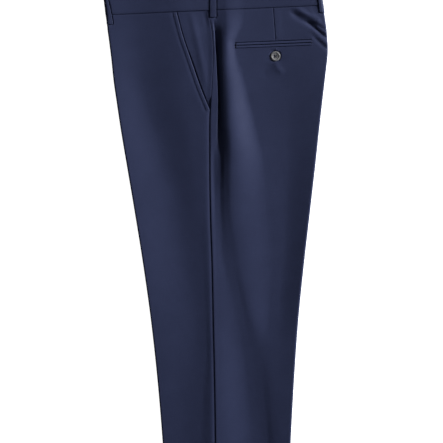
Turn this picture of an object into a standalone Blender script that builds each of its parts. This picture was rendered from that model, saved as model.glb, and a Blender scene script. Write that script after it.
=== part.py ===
"""Linen trousers, folded lengthwise on their creases and lying flat on the right leg.

The left half is on top. +Y points to the waist, the front folds lie at -X, the seat and
the back folds at +X, and the lowest layer rests on z = 0. Sizes are in millimetres and
become metres in place(), the one function that makes a mesh point.
"""
import math

import bmesh
import bpy
import numpy as np

COLLECTION = "linen_trousers"
MM = 0.001

# Lengths are measured down the cloth from the waistband's upper edge.
WAIST_Y = 541.4
LENGTH = 1087.0
BAND_HEIGHT = 38.0
SEAM_GAP = 0.3

# Cloth thicknesses, and the room between a wall and the hidden layers under it.
PANEL_WALL = 1.2
BAND_WALL = 2.2
BAND_RAISE = 0.5
LAYER_ROOM = 0.5

# The slanted front pocket: its opening runs from the waist seam to the side seam.
POCKET_END = 211.5
FACING_END = 217.0
FACING_TUCK = 9.0
FACING_DEPTH = 1.5
FACING_ROOM = 1.9

# The room for that side piece over the hidden layers, and how far beside and below it goes.
ROOM_BESIDE = (22.0, 36.0)
ROOM_BEHIND = (2.0, 4.0)
ROOM_BELOW = (8.0, 30.0)

# More room under the narrow valley behind the side seam: how deep, and where it begins and ends.
VALLEY_ROOM = 1.9
VALLEY_BEGINS = (-4.0, 2.0)
VALLEY_ENDS = (30.0, 44.0)

# Belt loops, flat straps with a slight arch.
LOOP_WIDTH = 10.5
LOOP_THICK = 1.4
LOOP_LIFT = 0.35
LOOP_ARCH = 1.2
LOOP_TOP = 0.5
LOOP_BELOW_SEAM = 11.5
FRONT_LOOP_BELOW_SEAM = 16.0
LOOP_ROWS = 8
LOOP_SIDE_X = -3.0
LOOP_ON_FRONT_FOLD = -7.0
LOOP_ON_BACK_FOLD = -3.2

# The back welt pocket and its button.
WELT_LEFT_X = 35.4
WELT_RIGHT_X = 165.2
WELT_TOP = 94.0
WELT_LIP = 4.1
WELT_SLIT = 0.4
WELT_THICK = 1.1
LAID_GAP = 0.4
BUTTON_X = 103.8
BUTTON_DOWN = 119.2
BUTTON_RADIUS = 8.6
BUTTON_THICK = 3.0
BUTTON_HOLE_RADIUS = 0.9
BUTTON_HOLE_PITCH = 2.6

# Slits that show the layers at the two open ends. Each cutter runs past the cloth.
HEM_LAYER = 1.5
HEM_SLIT_DEPTH = 16.0
BAND_SLIT = 1.8
BAND_SLIT_LEAN = math.radians(0.5)
WAIST_SLIT_DEPTH = 20.0
TUCK_END_X = -98.0
PAST_FOLD = 5.0
PAST_CLOTH = 40.0

# Rows down the cloth and columns across it.
ROW_COUNT = 36
ROW_GROWTH = 1.6
FRONT_COLUMNS = 10
BACK_COLUMNS = (2, 2, 2, 2, 4, 6)
FACING_COLUMNS = 5
FLOOR_COLUMNS = 5
FOLD_STEPS = 7
LOWER_FOLD_STEPS = 6
LOOP_FOLD_STEPS = 24


def columns(names, *rows):
    """A table as a dictionary with one array for each named column."""
    return dict(zip(names.split(), np.array(rows, float).T))


# The outline: the front fold, the side seam and the back fold, across the garment.
OUTLINE = columns(
    "down front seam back",
    (0, -189.0, -16.5, 177.4),
    (38, -184.9, -13.0, 184.4),
    (60, -182.9, -7.4, 188.0),
    (85, -179.5, -4.3, 191.1),
    (115, -175.8, -2.9, 192.7),
    (150, -172.2, -4.1, 189.5),
    (190, -166.5, -6.6, 184.6),
    (240, -159.1, -8.2, 178.7),
    (300, -149.2, -8.1, 172.1),
    (380, -136.0, -7.1, 162.7),
    (470, -121.8, -4.3, 152.2),
    (570, -108.1, -2.3, 142.1),
    (680, -96.5, 0.1, 134.5),
    (790, -87.7, 1.6, 128.7),
    (900, -80.4, 3.6, 124.2),
    (1000, -74.9, 5.2, 121.4),
    (1087, -71.1, 6.5, 119.9),
)

# How far a cross line of the cloth rises towards the back, for each millimetre across.
TILT = columns(
    "down tilt",
    (0, 0.049),
    (180, 0.035),
    (450, 0.0),
    (900, -0.02),
    (1087, -0.04),
)

# The upper surface's height over the floor, from the front fold to the back fold.
HEIGHTS = columns(
    "down front_fold front_dip front_rise seam edge valley flank crest foot back_dip back_fold",
    (0, 14.4, 13.0, 14.0, 13.8, 13.6, 12.8, 13.0, 13.5, 11.9, 11.2, 11.0),
    (38, 15.2, 13.4, 14.8, 14.1, 13.7, 12.0, 13.0, 14.6, 12.0, 11.1, 11.2),
    (64, 16.2, 13.6, 15.5, 14.7, 14.1, 10.8, 14.8, 16.4, 12.4, 11.6, 12.2),
    (80, 16.9, 13.8, 15.9, 15.2, 14.5, 10.2, 16.0, 17.1, 13.0, 11.9, 12.8),
    (97, 17.6, 13.9, 16.2, 15.7, 15.0, 9.4, 16.8, 17.8, 13.8, 12.0, 13.2),
    (122, 18.2, 14.1, 16.6, 16.3, 15.5, 8.8, 17.1, 18.4, 13.7, 11.9, 13.4),
    (148, 18.7, 14.2, 16.8, 16.7, 15.9, 8.6, 17.6, 19.1, 12.9, 11.4, 13.5),
    (173, 19.7, 14.2, 16.9, 17.0, 16.2, 8.6, 18.2, 19.9, 12.2, 10.8, 13.4),
    (199, 20.3, 14.1, 16.9, 17.1, 16.3, 8.8, 18.6, 20.7, 11.2, 10.2, 13.2),
    (224, 20.8, 14.0, 16.8, 17.1, 16.3, 9.4, 18.8, 21.2, 10.8, 9.7, 13.0),
    (258, 21.2, 13.8, 16.5, 16.8, 16.0, 10.8, 18.6, 21.4, 10.4, 9.4, 12.8),
    (292, 21.4, 13.6, 16.0, 16.4, 15.5, 12.8, 17.8, 20.5, 10.1, 9.0, 12.9),
    (360, 21.2, 13.2, 15.0, 15.7, 14.4, 13.9, 15.3, 17.0, 9.7, 8.9, 12.9),
    (445, 20.3, 13.0, 14.1, 15.3, 14.3, 13.4, 13.7, 14.3, 8.9, 8.7, 12.7),
    (530, 18.6, 13.1, 13.8, 15.2, 14.5, 12.2, 12.2, 12.6, 9.0, 9.0, 12.7),
    (615, 16.0, 13.1, 13.8, 15.4, 14.7, 9.8, 9.8, 10.2, 10.6, 11.0, 12.9),
    (700, 13.8, 12.9, 13.8, 15.9, 15.2, 8.6, 8.7, 9.4, 10.8, 11.6, 13.0),
    (773, 12.8, 12.5, 13.7, 15.9, 15.3, 8.7, 8.8, 9.6, 11.0, 12.0, 13.2),
    (904, 12.3, 12.4, 13.2, 14.6, 14.2, 9.6, 9.8, 10.4, 11.1, 11.6, 12.6),
    (1087, 12.0, 11.7, 11.8, 12.2, 12.1, 11.2, 11.2, 11.3, 11.3, 11.4, 11.8),
)

# Where those heights lie: shares of the front's width, then millimetres behind the seam.
PLACES = columns(
    "down front_dip front_rise edge valley flank crest foot back_dip",
    (0, 0.30, 0.72, 8.0, 23.5, 28.0, 35.0, 68.0, 122.0),
    (38, 0.30, 0.72, 8.0, 20.0, 25.0, 32.0, 64.0, 120.0),
    (64, 0.30, 0.73, 4.4, 12.6, 19.5, 26.0, 56.0, 112.0),
    (80, 0.30, 0.74, 3.9, 8.8, 17.2, 24.3, 46.0, 110.0),
    (97, 0.30, 0.74, 3.5, 6.3, 15.0, 22.5, 38.0, 108.0),
    (122, 0.30, 0.74, 4.8, 7.7, 14.2, 22.0, 42.0, 108.0),
    (148, 0.30, 0.74, 7.3, 10.4, 16.2, 24.7, 52.0, 112.0),
    (173, 0.31, 0.74, 10.2, 13.4, 19.0, 28.5, 61.0, 118.0),
    (199, 0.33, 0.76, 12.0, 15.6, 21.4, 32.0, 68.0, 124.0),
    (224, 0.37, 0.78, 12.0, 17.8, 23.6, 35.0, 76.0, 128.0),
    (258, 0.43, 0.80, 10.2, 19.6, 24.8, 37.6, 84.0, 130.0),
    (292, 0.46, 0.82, 8.2, 19.8, 25.8, 38.2, 92.0, 130.0),
    (360, 0.56, 0.84, 8.0, 15.0, 26.4, 39.8, 98.0, 126.0),
    (445, 0.60, 0.84, 8.0, 21.0, 33.0, 44.0, 104.0, 121.0),
    (530, 0.68, 0.86, 8.0, 38.0, 46.0, 56.0, 100.0, 112.0),
    (615, 0.68, 0.86, 8.0, 52.0, 60.0, 76.0, 92.0, 108.0),
    (700, 0.40, 0.76, 8.0, 59.0, 68.0, 82.0, 96.0, 108.0),
    (773, 0.34, 0.72, 8.0, 65.0, 74.0, 88.0, 98.0, 108.0),
    (904, 0.34, 0.72, 8.0, 62.0, 71.0, 84.0, 94.0, 104.0),
    (1087, 0.34, 0.72, 8.0, 56.0, 64.0, 76.0, 88.0, 98.0),
)

# The folds at the two edges. parted is 0 where the seat is one fold on the centre back
# seam and 1 where each leg has a fold of its own. step is how far the lower fold shows.
FOLDS = columns(
    "down front_round back_round parted step",
    (0, 7.0, 5.5, 0.0, 0.0),
    (60, 6.5, 5.5, 0.0, 0.0),
    (100, 5.5, 5.0, 0.0, 0.0),
    (200, 4.2, 4.2, 1.0, 0.8),
    (500, 4.0, 4.0, 1.0, 1.0),
    (900, 4.0, 4.0, 1.0, 0.6),
    (1087, 4.2, 4.2, 1.0, 1.0),
)
FRONT_STEP = 0.8
FOLD_TUCK = 8.0
SEAM_TUCK = 3.0
FOLD_GAP = 0.7
BACK_DIP_FROM_FOLD = 12.0

# The pocket opening's line, from the waist seam to its end on the side seam.
OPENING = columns(
    "down across",
    (38, -63.7),
    (80, -53.0),
    (120, -40.5),
    (166, -25.2),
    (211.5, -7.2),
)

NAVY = (0.028, 0.033, 0.062, 1.0)
NAVY_UNDER = (0.024, 0.028, 0.054, 1.0)
HORN_GREY = (0.10, 0.105, 0.12, 1.0)


def smooth(at, value, x):
    """A curve through the points (at, value) that is level at each high and low one."""
    step = np.diff(at)
    rise = np.diff(value) / step
    slope = np.zeros(len(at))
    slope[0], slope[-1] = rise[0], rise[-1]
    for i in range(1, len(at) - 1):
        if rise[i - 1] * rise[i] > 0:
            slope[i] = 2 / (1 / rise[i - 1] + 1 / rise[i])
    x = min(max(x, at[0]), at[-1])
    i = min(int(np.searchsorted(at, x, side="right")), len(at) - 1) - 1
    t = (x - at[i]) / step[i]
    bend_in = slope[i] * step[i] * t * (1 - t) ** 2
    bend_out = slope[i + 1] * step[i] * t ** 2 * (1 - t)
    return value[i] + (value[i + 1] - value[i]) * t * t * (3 - 2 * t) + bend_in - bend_out


def read(table, name, down):
    """A table's column at a distance down the cloth."""
    return smooth(table["down"], table[name], down)


def ease(low, high, x):
    """0 below low, 1 above high, and a smooth rise between them."""
    t = min(max((x - low) / (high - low), 0), 1)
    return t * t * (3 - 2 * t)


def place(across, down, height):
    """The point in metres at a distance across and down the cloth, at a height."""
    along = WAIST_Y - down + read(TILT, "tilt", down) * across
    return across * MM, along * MM, height * MM


def stations(down):
    """Where the named heights lie across the garment, as two lists."""
    front, seam, back = (read(OUTLINE, name, down) for name in ("front", "seam", "back"))
    shares = [read(PLACES, name, down) for name in ("front_dip", "front_rise")]
    behind = [read(PLACES, name, down) for name in "edge valley flank crest foot".split()]
    dip = min(seam + read(PLACES, "back_dip", down), back - BACK_DIP_FROM_FOLD)
    across = [front] + [front + (seam - front) * share for share in shares] + [seam]
    across += [seam + way for way in behind] + [dip, back]
    names = "front_fold front_dip front_rise seam edge valley flank crest foot back_dip back_fold"
    return across, [read(HEIGHTS, name, down) for name in names.split()]


def height(across, down):
    """The upper surface's height."""
    at, value = stations(down)
    return smooth(np.array(at), np.array(value), across)


def inset_height(across, down, depth):
    """The height of a surface that lies a depth under the upper one at every slope."""
    at, value = (np.array(column) for column in stations(down))
    shifts = np.linspace(-1, 1, 9) * depth
    return min(smooth(at, value, across + s) - math.sqrt(depth ** 2 - s ** 2) for s in shifts)


def inwards(side):
    """The direction across the garment from a side's fold to its middle."""
    return 1 if side == "front" else -1


def parting(side, down):
    """0 where both layers share one fold and 1 where each has its own."""
    return 1.0 if side == "front" else read(FOLDS, "parted", down)


def groove(side, down):
    """The heights of the lower and upper edge of the groove between two folds."""
    middle = read(HEIGHTS, side + "_fold", down) / 2
    gap = SEAM_GAP + (FOLD_GAP - SEAM_GAP) * parting(side, down)
    return middle - gap / 2, middle + gap / 2


def blend(share, one, other):
    """Two points mixed: all of the first at share 1, all of the second at share 0."""
    return tuple(share * a + (1 - share) * b for a, b in zip(one, other))


def upper_fold(side, down, count, raised=0.0):
    """Points (across, height) of the upper layer's fold, from its top to its tucked end."""
    towards, parted = inwards(side), parting(side, down)
    radius = read(FOLDS, side + "_round", down)
    edge = read(OUTLINE, side, down)
    if side == "back":
        edge -= read(FOLDS, "step", down)
    top = read(HEIGHTS, side + "_fold", down)
    low = groove(side, down)[1]
    points = []
    for k in range(count + 1):
        whole = math.radians(90 - 180 * k / count)
        half = math.radians(90 - 90 * k / count)
        leg = (edge + towards * radius * (1 - math.cos(whole)),
               (top + low) / 2 + (top - low) / 2 * math.sin(whole))
        seat = (edge + towards * radius * (1 - math.cos(half)),
                low + (top - low) * math.sin(half))
        x, z = blend(parted, leg, seat)
        lift = max(math.sin(whole), 0) * parted + math.sin(half) * (1 - parted)
        points.append((x, z + lift * (height(x, down) - top + raised)))
    turned = points[-1][0]
    tuck = towards * (SEAM_TUCK + (FOLD_TUCK - SEAM_TUCK) * parted)
    return points + [(turned + tuck / 2, low), (turned + tuck, low)]


def lower_fold(side, down, count):
    """Points (across, height) of the lower layer's fold, from the floor to its groove."""
    towards, parted = inwards(side), parting(side, down)
    radius = read(FOLDS, side + "_round", down)
    edge = read(OUTLINE, side, down)
    if side == "front":
        edge += FRONT_STEP * parted
    high = groove(side, down)[0]
    points = []
    for k in range(count + 1):
        whole = math.radians(-90 + 180 * k / count)
        half = math.radians(-90 + 90 * k / count)
        leg = (edge + towards * radius * (1 - math.cos(whole)),
               high / 2 + high / 2 * math.sin(whole))
        seat = (edge + towards * radius * (1 - math.cos(half)),
                high + high * math.sin(half))
        points.append(blend(parted, leg, seat))
    return points


def spread(low, high, count):
    """Places from low up to, but not with, high."""
    return [low + (high - low) * k / count for k in range(count)]


def front_places(start, end):
    """Column places on the front, from the fold to the pocket opening or the side seam."""
    return spread(start, end, FRONT_COLUMNS) + [end]


def back_places(start, end, down):
    """Column places on the back, close together where the cloth dips behind the seam."""
    marks = [start] + stations(down)[0][4:9] + [end]
    places = []
    for low, high, count in zip(marks, marks[1:], BACK_COLUMNS):
        places += spread(low, high, count)
    return places + [end]


def row_places():
    """Distances down the cloth of the panels' rows, close together near the waist."""
    start = BAND_HEIGHT + SEAM_GAP / 2
    rows = []
    for k in range(ROW_COUNT + 1):
        t = k / ROW_COUNT
        rows.append(start + (LENGTH - start) * (t + ROW_GROWTH * t * t) / (1 + ROW_GROWTH))
    nearest = min(range(len(rows)), key=lambda k: abs(rows[k] - POCKET_END))
    rows[nearest] = POCKET_END
    return rows


def facing_depth(across, down):
    """How far the side piece lies under the front's surface."""
    seam = read(OUTLINE, "seam", down)
    opening = read(OPENING, "across", down)
    rising = ease(0, max(seam - opening - 1, 2), seam - across)
    narrow = 1 - ease(6, 18, seam - opening)
    return FACING_DEPTH * max(rising, narrow)


def hidden_depth(across, down):
    """How far the hidden layers' upper surface lies under the garment's."""
    band = 1 - ease(BAND_HEIGHT, BAND_HEIGHT + 8, down)
    depth = LAYER_ROOM + PANEL_WALL + (BAND_WALL - BAND_RAISE - PANEL_WALL) * band
    opening = read(OPENING, "across", min(down, POCKET_END))
    beside = 1 - ease(*ROOM_BESIDE, opening - across)
    behind = 1 - ease(*ROOM_BEHIND, across - read(OUTLINE, "seam", down))
    below = 1 - ease(*ROOM_BELOW, down - FACING_END)
    past_seam = across - read(OUTLINE, "seam", down)
    valley = ease(*VALLEY_BEGINS, past_seam) * (1 - ease(*VALLEY_ENDS, past_seam))
    return depth + FACING_ROOM * beside * behind * below + VALLEY_ROOM * valley


def garment_collection(name):
    """A new collection in the scene."""
    collection = bpy.data.collections.new(name)
    bpy.context.scene.collection.children.link(collection)
    return collection


def material(name, colour, roughness, metallic=0.0):
    """A Principled material with one colour."""
    made = bpy.data.materials.new(name)
    made.use_nodes = True
    shader = made.node_tree.nodes["Principled BSDF"]
    shader.inputs["Base Color"].default_value = colour
    shader.inputs["Roughness"].default_value = roughness
    shader.inputs["Metallic"].default_value = metallic
    return made


def add_object(name, bm, collection, finish):
    """A mesh object with smooth shading, made from a bmesh."""
    mesh = bpy.data.meshes.new(name)
    bm.to_mesh(mesh)
    bm.free()
    mesh.shade_smooth()
    mesh.set_sharp_from_angle(angle=math.radians(40))
    made = bpy.data.objects.new(name, mesh)
    made.data.materials.append(finish)
    collection.objects.link(made)
    return made


def grid_mesh(rows):
    """A grid whose points are taken from rows of equally many points."""
    across, along = len(rows[0]) - 1, len(rows) - 1
    bm = bmesh.new()
    bmesh.ops.create_grid(bm, x_segments=across, y_segments=along, size=0.5)
    for vert in bm.verts:
        column = round((vert.co.x + 0.5) * across)
        row = round((vert.co.y + 0.5) * along)
        vert.co = rows[row][column]
    return bm


def sheet(name, rows, thickness, offset, collection, finish):
    """A cloth wall: a grid through rows of points, given its thickness."""
    bm = grid_mesh(rows)
    bm.normal_update()
    if sum(face.normal.z * face.calc_area() for face in bm.faces) < 0:
        bmesh.ops.reverse_faces(bm, faces=bm.faces)
    made = add_object(name, bm, collection, finish)
    wall = made.modifiers.new("wall", "SOLIDIFY")
    wall.thickness = thickness * MM
    wall.offset = offset
    wall.use_even_offset = True
    return made


def band_rows():
    """The waistband's rows of points, from the front fold's tuck to the back's."""
    rows = []
    for down in np.linspace(0, BAND_HEIGHT - SEAM_GAP, 4):
        front = upper_fold("front", down, FOLD_STEPS, BAND_RAISE)
        back = upper_fold("back", down, FOLD_STEPS, BAND_RAISE)
        inner = front_places(front[0][0], read(OUTLINE, "seam", down))[1:]
        inner += back_places(read(OUTLINE, "seam", down), back[0][0], down)[1:-1]
        top = [(x, height(x, down) + BAND_RAISE) for x in inner]
        rows.append([place(x, down, z) for x, z in front[::-1] + top + back])
    return rows


def front_rows():
    """The left front's rows, from the fold's tuck to the pocket opening or side seam."""
    rows = []
    for down in row_places():
        end = read(OUTLINE, "seam", down) - SEAM_GAP / 2
        if down < POCKET_END:
            end = min(end, read(OPENING, "across", down))
        front = upper_fold("front", down, FOLD_STEPS)
        top = [(x, height(x, down)) for x in front_places(front[0][0], end)[1:]]
        rows.append([place(x, down, z) for x, z in front[::-1] + top])
    return rows


def back_rows():
    """The left back's rows, from the side seam to the back fold's tuck."""
    rows = []
    for down in row_places():
        start = read(OUTLINE, "seam", down) + SEAM_GAP / 2
        back = upper_fold("back", down, FOLD_STEPS)
        top = [(x, height(x, down)) for x in back_places(start, back[0][0], down)[:-1]]
        rows.append([place(x, down, z) for x, z in top + back])
    return rows


def facing_rows():
    """The side piece behind the pocket opening, which runs on under the front."""
    rows = []
    for down in [d for d in row_places() if d < FACING_END] + [FACING_END]:
        end = read(OUTLINE, "seam", down) - SEAM_GAP
        opening = min(read(OPENING, "across", down), end - 3)
        places = [opening - FACING_TUCK] + spread(opening, end, FACING_COLUMNS) + [end]
        rows.append([place(x, down, height(x, down) - facing_depth(x, down)) for x in places])
    return rows


def hidden_section(down):
    """The hidden layers' closed section, as points in metres."""
    front, back = (lower_fold(side, down, LOWER_FOLD_STEPS) for side in ("front", "back"))
    front_wall = max(x for x, _ in upper_fold("front", down, 2)) + LAYER_ROOM
    back_wall = min(x for x, _ in upper_fold("back", down, 2)) - LAYER_ROOM
    seam = read(OUTLINE, "seam", down)
    top = front_places(front_wall, seam) + back_places(seam, back_wall, down)[1:]
    section = [(x, 0.0) for x in spread(front[0][0], back[0][0], FLOOR_COLUMNS)]
    section += back + [(back_wall, back[-1][1])]
    section += [(x, inset_height(x, down, hidden_depth(x, down))) for x in reversed(top)]
    section += [(front_wall, front[-1][1])] + front[:0:-1]
    return [place(x, down, z) for x, z in section]


def hidden_rows():
    """Distances down the cloth of the hidden layers' sections."""
    return [0.0, 14.0, 28.0] + row_places()


def hidden_layers(collection, finish):
    """One rounded solid for every layer under the visible ones."""
    rings = [hidden_section(down) for down in hidden_rows()]
    bm = grid_mesh([ring + ring[:1] for ring in rings])
    bmesh.ops.remove_doubles(bm, verts=bm.verts, dist=0.01 * MM)
    bmesh.ops.holes_fill(bm, edges=[edge for edge in bm.edges if edge.is_boundary])
    bmesh.ops.recalc_face_normals(bm, faces=bm.faces)
    return add_object("under_layers", bm, collection, finish)


def cutter_box(name, low, high, collection, lean=0.0):
    """A box cutter between two corners in millimetres, leaning about the Y axis."""
    size = [(b - a) * MM for a, b in zip(low, high)]
    centre = [(a + b) / 2 * MM for a, b in zip(low, high)]
    bpy.ops.mesh.primitive_cube_add(size=1, location=centre, rotation=(0, lean, 0))
    made = bpy.context.object
    made.name = name
    made.scale = size
    for owner in list(made.users_collection):
        owner.objects.unlink(made)
    collection.objects.link(made)
    made.hide_render = True
    made.display_type = "WIRE"
    return made


def cut(target, cutter):
    """A Boolean cut of one object by another."""
    boolean = target.modifiers.new(cutter.name, "BOOLEAN")
    boolean.operation = "DIFFERENCE"
    boolean.object = cutter


def open_hem(under, cutters):
    """Slits at the hem, so that the leg layers show one above another."""
    hem = WAIST_Y - LENGTH
    low_y, high_y = hem - PAST_CLOTH, hem + HEM_SLIT_DEPTH
    front, back = read(OUTLINE, "front", LENGTH), read(OUTLINE, "back", LENGTH)
    radius = read(FOLDS, "front_round", LENGTH)
    below, above = groove("front", LENGTH)
    cut(under, cutter_box("right_leg_slit", (front + radius, low_y, HEM_LAYER),
                          (back - radius, high_y, below - HEM_LAYER), cutters))
    cut(under, cutter_box("between_legs_slit", (front - PAST_FOLD, low_y, below),
                          (back + PAST_FOLD, high_y + 2, above), cutters))
    cut(under, cutter_box("left_leg_slit", (front - PAST_FOLD, low_y, above + HEM_LAYER),
                          (back + PAST_FOLD, high_y - 2, PAST_CLOTH), cutters))


def open_waist(under, cutters):
    """Slits at the waist, so that the band's layers and the tucked-in front show."""
    low_y, high_y = WAIST_Y - WAIST_SLIT_DEPTH, WAIST_Y + PAST_CLOTH
    front, back = read(OUTLINE, "front", 0), read(OUTLINE, "back", 0)
    below, above = groove("front", 0)
    cut(under, cutter_box("right_band_slit", (front + read(FOLDS, "front_round", 0), low_y, BAND_WALL),
                          (back - read(FOLDS, "back_round", 0), high_y, BAND_WALL + BAND_SLIT),
                          cutters))
    cut(under, cutter_box("tucked_front_slit", (front - PAST_FOLD, low_y - 4, below),
                          (TUCK_END_X, high_y, above), cutters))
    cut(under, cutter_box("left_band_slit", (front - PAST_CLOTH, low_y + 2, above + BAND_SLIT),
                          (back + PAST_CLOTH, high_y, 2 * PAST_CLOTH), cutters, BAND_SLIT_LEAN))


def loop_rows(outline_point, below_seam):
    """A belt loop's rows, from the band's upper edge to its end below the waist seam."""
    rows = []
    for share in np.linspace(0, 1, LOOP_ROWS + 1):
        down = LOOP_TOP + share * (BAND_HEIGHT + below_seam)
        arch = LOOP_LIFT + BAND_RAISE + LOOP_ARCH * math.sin(math.pi * share) ** 2
        rows.append([outline_point(s, down, arch) for s in np.linspace(-1, 1, 5) * LOOP_WIDTH / 2])
    return rows


def flat_loop_point(centre):
    """A point of a loop that lies on the flat of the band."""
    def point(side, down, lift):
        near = (centre - LOOP_WIDTH / 2, centre, centre + LOOP_WIDTH / 2)
        return place(centre + side, down, max(height(x, down) for x in near) + lift)
    return point


def fold_loop_point(fold, along_fold):
    """A point of a loop bent round a fold, placed by its way along the fold's section."""
    towards, steps = inwards(fold), LOOP_FOLD_STEPS

    def point(side, down, lift):
        shared = parting(fold, down) < 0.5
        upper = upper_fold(fold, down, steps)[:steps + 1]
        flat = [(x, height(x, down)) for x in upper[0][0] + towards * np.array([9, 6, 3])]
        path = flat + upper + (lower_fold(fold, down, steps)[::-1] if shared else [])
        across, up = np.array(path).T
        way = np.concatenate([[0], np.cumsum(np.hypot(np.diff(across), np.diff(up)))])
        at = way[len(flat) + (steps if shared else steps // 2)] + along_fold - side
        x, before, after = np.interp((at, at - LOOP_LIFT, at + LOOP_LIFT), way, across)
        z, low, high = np.interp((at, at - LOOP_LIFT, at + LOOP_LIFT), way, up)
        run = math.hypot(after - before, high - low)
        return place(x + (high - low) / run * towards * lift, down,
                     z - (after - before) / run * towards * lift)
    return point


def welt_rows(top, bottom):
    """A pocket lip's rows, moved out from the back panel's surface."""
    rows = []
    for down in np.linspace(top, bottom, 3):
        places = np.linspace(WELT_LEFT_X, WELT_RIGHT_X, 13)
        rows.append([place(x, down, height(x, down) + LAID_GAP) for x in places])
    return rows


def button(collection, cutters, finish):
    """A turned four-hole button on the back pocket, leaning with the cloth."""
    radius, thick = BUTTON_RADIUS * MM, BUTTON_THICK * MM
    profile = columns(
        "radius height",
        (0.0, 0.72),
        (0.52, 0.72),
        (0.62, 0.92),
        (0.78, 1.0),
        (0.92, 0.94),
        (1.0, 0.68),
        (0.98, 0.34),
        (0.84, 0.06),
        (0.6, 0.0),
        (0.0, 0.0),
    )
    bm = bmesh.new()
    verts = [bm.verts.new((r * radius, 0, h * thick))
             for r, h in zip(profile["radius"], profile["height"])]
    for a, b in zip(verts, verts[1:]):
        bm.edges.new((a, b))
    made = add_object("pocket_button", bm, collection, finish)
    turn = made.modifiers.new("turn", "SCREW")
    turn.steps = 24
    turn.render_steps = 24
    turn.use_merge_vertices = True
    turn.merge_threshold = 0.01 * MM
    sides = np.linspace(-BUTTON_RADIUS, BUTTON_RADIUS, 5)
    under = [height(BUTTON_X + side, BUTTON_DOWN) for side in sides]
    slope = (under[-1] - under[0]) / (sides[-1] - sides[0])
    rest = max(under - slope * sides)
    made.location = place(BUTTON_X, BUTTON_DOWN, rest + LAID_GAP)
    made.rotation_euler = (0, -math.atan(slope), 0)
    for k in range(4):
        angle = math.pi / 4 + k * math.pi / 2
        away = BUTTON_HOLE_PITCH / 2 * math.sqrt(2) * MM
        bpy.ops.mesh.primitive_cylinder_add(
            vertices=10, radius=BUTTON_HOLE_RADIUS * MM, depth=thick * 4)
        hole = bpy.context.object
        hole.name = f"button_hole_{k}"
        for owner in list(hole.users_collection):
            owner.objects.unlink(hole)
        cutters.objects.link(hole)
        hole.parent = made
        hole.location = (away * math.cos(angle), away * math.sin(angle), thick / 2)
        hole.hide_render = True
        hole.display_type = "WIRE"
        cut(made, hole)
    return made


def build():
    """Every piece of the trousers."""
    for old in list(bpy.data.objects):
        bpy.data.objects.remove(old, do_unlink=True)
    pieces = garment_collection(COLLECTION)
    cutters = garment_collection("cutters")
    cloth = {name: material(name + "_cloth", NAVY, 0.75) for name in (
        "left_front", "left_back", "pocket_facing", "waistband", "welt_upper", "welt_lower",
        "belt_loop_front", "belt_loop_side", "belt_loop_back")}
    sheet("left_front", front_rows(), PANEL_WALL, -1, pieces, cloth["left_front"])
    sheet("left_back", back_rows(), PANEL_WALL, -1, pieces, cloth["left_back"])
    sheet("pocket_facing", facing_rows(), PANEL_WALL, -1, pieces, cloth["pocket_facing"])
    sheet("waistband", band_rows(), BAND_WALL, -1, pieces, cloth["waistband"])
    under = hidden_layers(pieces, material("under_cloth", NAVY_UNDER, 0.8))
    open_hem(under, cutters)
    open_waist(under, cutters)
    loops = (
        ("belt_loop_front", fold_loop_point("front", LOOP_ON_FRONT_FOLD), FRONT_LOOP_BELOW_SEAM),
        ("belt_loop_side", flat_loop_point(LOOP_SIDE_X), LOOP_BELOW_SEAM),
        ("belt_loop_back", fold_loop_point("back", LOOP_ON_BACK_FOLD), LOOP_BELOW_SEAM),
    )
    for name, point, below_seam in loops:
        sheet(name, loop_rows(point, below_seam), LOOP_THICK, 1, pieces, cloth[name])
    lower = WELT_TOP + WELT_LIP + WELT_SLIT
    sheet("welt_upper", welt_rows(WELT_TOP, WELT_TOP + WELT_LIP), WELT_THICK, 1, pieces,
          cloth["welt_upper"])
    sheet("welt_lower", welt_rows(lower, lower + WELT_LIP), WELT_THICK, 1, pieces,
          cloth["welt_lower"])
    button(pieces, cutters, material("button_resin", HORN_GREY, 0.35))


build()
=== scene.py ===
"""Linen trousers, folded lengthwise on their creases and lying flat on the right leg.

The left half is on top. Distances down the cloth start at the waistband's upper edge, and
distances across it run from the front folds at -X to the seat at +X. Both are in millimetres
until place() turns them into points in metres.
"""
import math
from functools import partial

import bmesh
import bpy
import numpy as np
from mathutils import Matrix, Vector


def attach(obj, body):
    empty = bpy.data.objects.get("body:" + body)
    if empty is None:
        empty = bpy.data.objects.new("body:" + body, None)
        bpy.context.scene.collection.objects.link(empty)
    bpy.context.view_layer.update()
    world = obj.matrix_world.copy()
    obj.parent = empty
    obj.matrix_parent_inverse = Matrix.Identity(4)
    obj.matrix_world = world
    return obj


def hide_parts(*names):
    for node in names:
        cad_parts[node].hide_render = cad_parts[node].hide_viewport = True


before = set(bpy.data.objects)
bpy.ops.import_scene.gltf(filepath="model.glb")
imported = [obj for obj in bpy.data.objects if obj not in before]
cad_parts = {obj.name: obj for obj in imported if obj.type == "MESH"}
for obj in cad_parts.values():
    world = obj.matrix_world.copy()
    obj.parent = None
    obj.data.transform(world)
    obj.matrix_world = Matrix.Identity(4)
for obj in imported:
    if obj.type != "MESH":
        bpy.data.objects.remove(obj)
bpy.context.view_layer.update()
MM = 0.001

WAIST_Y = 541.4
LENGTH = 1087.0
BAND_HEIGHT = 38.0
SEAM_GAP = 0.3
CLOTH = 0.55
BAND_THICK = 2.2
BAND_RAISE = 0.5
TUCK_END_X = -98.0

POCKET_END = 211.5
FACING_END = 217.0
FACING_DEPTH = 1.9
STITCH_IN = 6.8

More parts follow.
